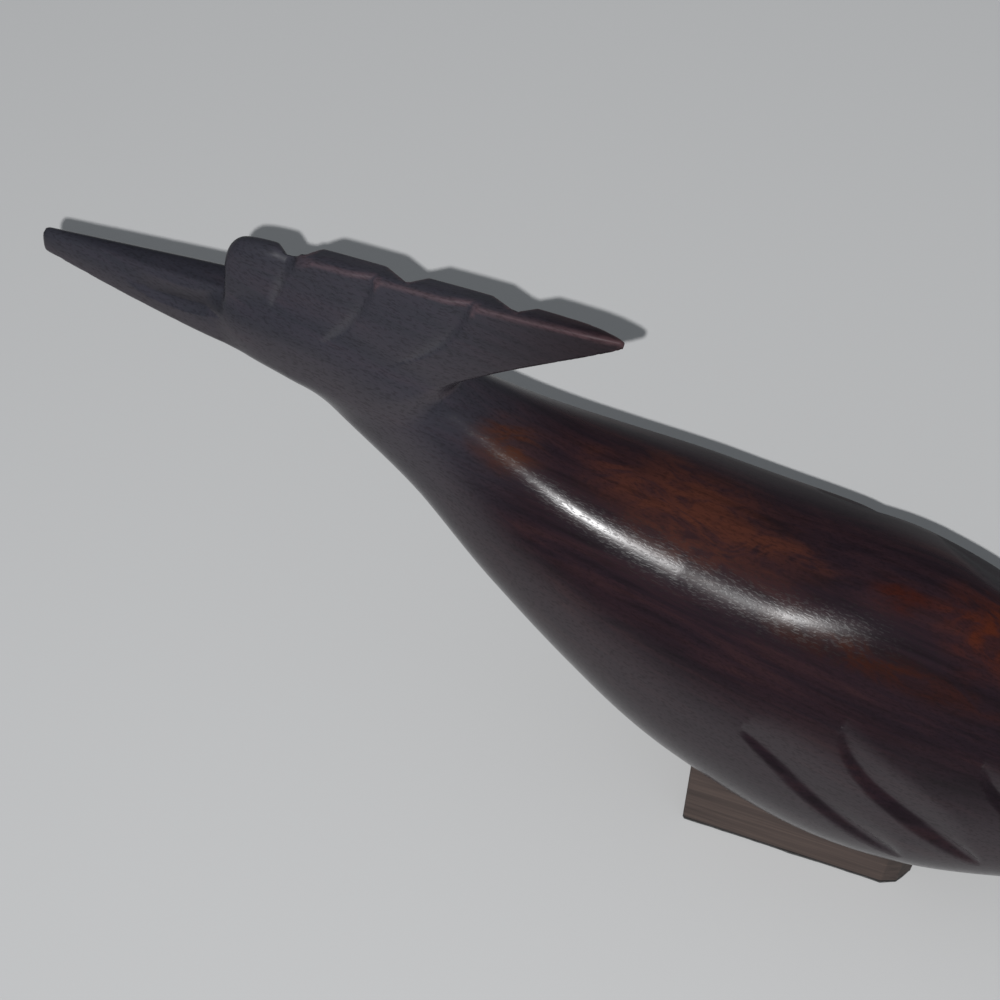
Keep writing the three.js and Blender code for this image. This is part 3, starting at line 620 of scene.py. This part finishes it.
# Each ring is a share of the outline at a share of the height, from the middle of the underside out, up the
# sides and in over the top.
ring_size = np.concatenate([np.linspace(0.05, 0.985, UNDER_RINGS), [0.997], np.ones(SIDE_RINGS),
                            np.linspace(0.99, 0.05, TOP_RINGS)])
ring_height = np.concatenate([np.zeros(UNDER_RINGS), [0.0], np.linspace(0.015, 1, SIDE_RINGS),
                              np.ones(TOP_RINGS)])
xy = block_outline(0.0, BLOCK_AROUND)[None] * ring_size[:, None, None]
belly = belly_height(xy[..., 0].ravel(), xy[..., 1].ravel()).reshape(xy.shape[:2])
block_z = FELT_THICKNESS + ring_height[:, None] * (belly - FELT_THICKNESS)
foot_block = wrap("foot_block_sawn", np.concatenate([xy, block_z[..., None]], -1))
foot_block.data.set_sharp_from_angle(angle=np.radians(25))

# Sawn mesquite: dull brown, with dark grain lines 0.9 mm apart and 25 mm long along the block, and darker on
# its end grain.
sawn_wood = bpy.data.materials.new("sawn_mesquite")
tree = blank_tree(sawn_wood)
place = put(tree, "ShaderNodeTexCoord").outputs["Object"]
strokes = put(tree, "ShaderNodeMapping", {
    "Vector": place, "Scale": (1000 / 25, 1000 / 0.9, 1000 / 0.9)}).outputs[0]
lines = put(tree, "ShaderNodeTexNoise", {
    "Vector": strokes, "Scale": 1.0, "Detail": 4.0, "Roughness": 0.6, "Distortion": 0.4}).outputs["Fac"]
brown = put(tree, "ShaderNodeValToRGB", {0: lines}, stops=[
    (0.25, "#332925"), (0.5, "#483b36"), (0.75, "#594a43")]).outputs["Color"]
facing = put(tree, "ShaderNodeNewGeometry").outputs["Normal"]
towards_tail = put(tree, "ShaderNodeSeparateXYZ", {0: facing}).outputs["X"]
end_grain = put(tree, "ShaderNodeMapRange", {0: towards_tail, 1: 0.2, 2: 0.5, 3: 0.0, 4: 0.5}).outputs[0]
brown = put(tree, "ShaderNodeMix", {0: end_grain, 6: brown, 7: linear("#2c2522")},
            data_type="RGBA").outputs[2]
saw_marks = put(tree, "ShaderNodeBump", {"Strength": 0.5, "Distance": 0.00012, "Height": lines}).outputs[0]
wood = put(tree, "ShaderNodeBsdfPrincipled", {
    "Base Color": brown, "Roughness": 0.8, "Normal": saw_marks, "IOR": 1.45})
put(tree, "ShaderNodeOutputMaterial", {"Surface": wood.outputs[0]})

foot_block.data.materials.append(sawn_wood)
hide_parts("foot_block")
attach(foot_block, "root")

# Felt pad
# A thin dark felt glued under the block, cut by hand with scissors, so that its edge wavers and shows as a
# ragged line.

FELT_INSET, FELT_RINGS, FELT_AROUND = 0.02, 10, 420
# The scissors wavered by about 0.10 mm at 17 mm from the middle: random steps, smoothed over 13 points and
# closed on themselves.
CUT_WAVER, CUT_REACH = 0.10, 17
outline = block_outline(FELT_INSET, FELT_AROUND)
cuts = np.random.default_rng(5).normal(size=len(outline))
cuts = np.convolve(np.concatenate([cuts[-6:], cuts, cuts[:6]]), np.hanning(13) / 6, "valid")
outline = outline * (1 + CUT_WAVER * cuts[:, None] / CUT_REACH)
# The pressed edge bulges out a little between the underside and the top, as shares of outline and thickness.
EDGE_SIZE, EDGE_HEIGHT = [1.0, 1.004, 1.003, 0.999], [0.1, 0.4, 0.7, 1.0]
ring_size = np.concatenate([np.linspace(0.05, 0.985, FELT_RINGS), EDGE_SIZE,
                            np.linspace(0.98, 0.05, FELT_RINGS)])
ring_height = np.concatenate([np.zeros(FELT_RINGS), EDGE_HEIGHT, np.ones(FELT_RINGS)])
xy = outline[None] * ring_size[:, None, None]
felt_z = np.broadcast_to((FELT_THICKNESS * ring_height)[:, None], xy.shape[:2])
felt_pad = wrap("felt_pad_pressed", np.concatenate([xy, felt_z[..., None]], -1))

# Pressed wool felt: almost black, no gloss, with a nap of short fibres about 0.4 mm across.
felt = bpy.data.materials.new("pressed_wool_felt")
tree = blank_tree(felt)
place = put(tree, "ShaderNodeTexCoord").outputs["Object"]
nap = put(tree, "ShaderNodeTexNoise", {"Vector": place, "Scale": 1000 / 0.4, "Detail": 3.0}).outputs["Fac"]
dark = put(tree, "ShaderNodeValToRGB", {0: nap}, stops=[(0.3, "#0b0909"), (0.7, "#1c1816")]).outputs["Color"]
fuzz = put(tree, "ShaderNodeBump", {"Strength": 0.8, "Distance": 0.0002, "Height": nap}).outputs[0]
cloth = put(tree, "ShaderNodeBsdfPrincipled", {
    "Base Color": dark, "Roughness": 1.0, "Normal": fuzz, "Sheen Weight": 0.2})
put(tree, "ShaderNodeOutputMaterial", {"Surface": cloth.outputs[0]})

felt_pad.data.materials.append(felt)
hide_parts("felt_pad")
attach(felt_pad, "root")

# Dowels
# Four turned birch pegs, two upright between block and belly and two along the rump joint, glued into drilled
# holes, so that none of them shows.

# Turned birch: pale straw colour with a faint fleck 0.6 mm across and a dry finish.
birch = bpy.data.materials.new("turned_birch")
tree = blank_tree(birch)
place = put(tree, "ShaderNodeTexCoord").outputs["Object"]
spread = put(tree, "ShaderNodeMapping", {"Vector": place, "Scale": (1000 / 0.6,) * 3}).outputs[0]
fleck = put(tree, "ShaderNodeTexNoise", {"Vector": spread, "Scale": 1.0, "Detail": 3.0}).outputs["Fac"]
straw = put(tree, "ShaderNodeValToRGB", {0: fleck}, stops=[
    (0.3, "#b8935c"), (0.7, "#d4b684")]).outputs["Color"]
wood = put(tree, "ShaderNodeBsdfPrincipled", {"Base Color": straw, "Roughness": 0.7})
put(tree, "ShaderNodeOutputMaterial", {"Surface": wood.outputs[0]})
for dowel in ("foot_dowel_front", "foot_dowel_rear", "tail_dowel_near", "tail_dowel_far"):
    for material_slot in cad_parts[dowel].material_slots:
        material_slot.material = birch

# Table, light and camera
# A plain pale table, a dim even room, a small lamp beside the lens that draws the streak along the back and
# the thin shadow up and to the right, and the camera above the near side, turned towards the tail.

# The table's half size in metres.
HALF = 1.5
table_mesh = bpy.data.meshes.new("table")
table_mesh.from_pydata(
    [(-HALF, -HALF, 0), (HALF, -HALF, 0), (HALF, HALF, 0), (-HALF, HALF, 0)], [], [(0, 1, 2, 3)])
table = bpy.data.objects.new("table", table_mesh)
bpy.context.scene.collection.objects.link(table)
# Matt paint: pale grey with hardly any gloss.
painted = bpy.data.materials.new("matt_paint")
tree = blank_tree(painted)
paint = put(tree, "ShaderNodeBsdfPrincipled", {
    "Base Color": linear("#bababa"), "Roughness": 0.9, "Specular IOR Level": 0.2})
put(tree, "ShaderNodeOutputMaterial", {"Surface": paint.outputs[0]})
table.data.materials.append(painted)

# The room is lighter above and in front of the bird than behind it, and its walls are pale low down.
world = bpy.data.worlds.new("room")
bpy.context.scene.world = world
tree = blank_tree(world)
direction = put(tree, "ShaderNodeTexCoord").outputs["Generated"]
facing = put(tree, "ShaderNodeVectorMath", {0: direction, 1: (0.19, -0.53, 0.83)},
             operation="DOT_PRODUCT").outputs["Value"]
ceiling = put(tree, "ShaderNodeMapRange", {0: facing, 1: -0.4, 2: 1.0, 3: 0.085, 4: 0.35}).outputs[0]
upward = put(tree, "ShaderNodeSeparateXYZ", {0: direction}).outputs["Z"]
walls = put(tree, "ShaderNodeMapRange", {0: upward, 1: 0.5, 2: 0.0, 3: 0.0, 4: 0.16}).outputs[0]
level = put(tree, "ShaderNodeMath", {0: ceiling, 1: walls}, operation="ADD").outputs[0]
room = put(tree, "ShaderNodeBackground", {"Color": (0.88, 0.94, 1.0, 1.0), "Strength": level})
put(tree, "ShaderNodeOutputWorld", {"Surface": room.outputs[0]})

# The camera's turn and rise, its distance and the point on the table that it aims at, in mm.
CAMERA_TURN, CAMERA_RISE, CAMERA_DISTANCE = np.radians(20.13), np.radians(55), 338.5
CAMERA_AIM = np.array((-63.67, 31.12, 0.0))
look = np.array((np.sin(CAMERA_TURN) * np.cos(CAMERA_RISE), -np.cos(CAMERA_TURN) * np.cos(CAMERA_RISE),
                 np.sin(CAMERA_RISE)))
lens_place = CAMERA_AIM + CAMERA_DISTANCE * look
lens = bpy.data.cameras.new("lens")
lens.sensor_width = 36
lens.lens = 72
lens.clip_start = 0.01
camera = bpy.data.objects.new("camera", lens)
camera.location = lens_place * 0.001
camera.rotation_euler = Vector((CAMERA_AIM - lens_place).tolist()).to_track_quat("-Z", "Y").to_euler()
bpy.context.scene.collection.objects.link(camera)
bpy.context.scene.camera = camera

# The lamp sits to the left of the lens and below it, and lights near and far things alike.
LAMP_LEFT, LAMP_BELOW = 8.4, 4.5
right = np.array((np.cos(CAMERA_TURN), np.sin(CAMERA_TURN), 0))
above = np.cross(look, right)
lamp_place = lens_place - LAMP_LEFT * right - LAMP_BELOW * above
flash = bpy.data.lights.new("lamp_by_the_lens", "POINT")
flash.shadow_soft_size = 0.001
flash.energy = 37.0
tree = blank_tree(flash)
even = put(tree, "ShaderNodeLightFalloff", {"Strength": 1.0}).outputs["Constant"]
glow = put(tree, "ShaderNodeEmission", {"Color": (1.0, 1.0, 1.0, 1.0), "Strength": even})
put(tree, "ShaderNodeOutputLight", {"Surface": glow.outputs[0]})
lamp = bpy.data.objects.new("lamp_by_the_lens", flash)
lamp.location = lamp_place * 0.001
bpy.context.scene.collection.objects.link(lamp)

bpy.context.scene.view_settings.view_transform = "Standard"
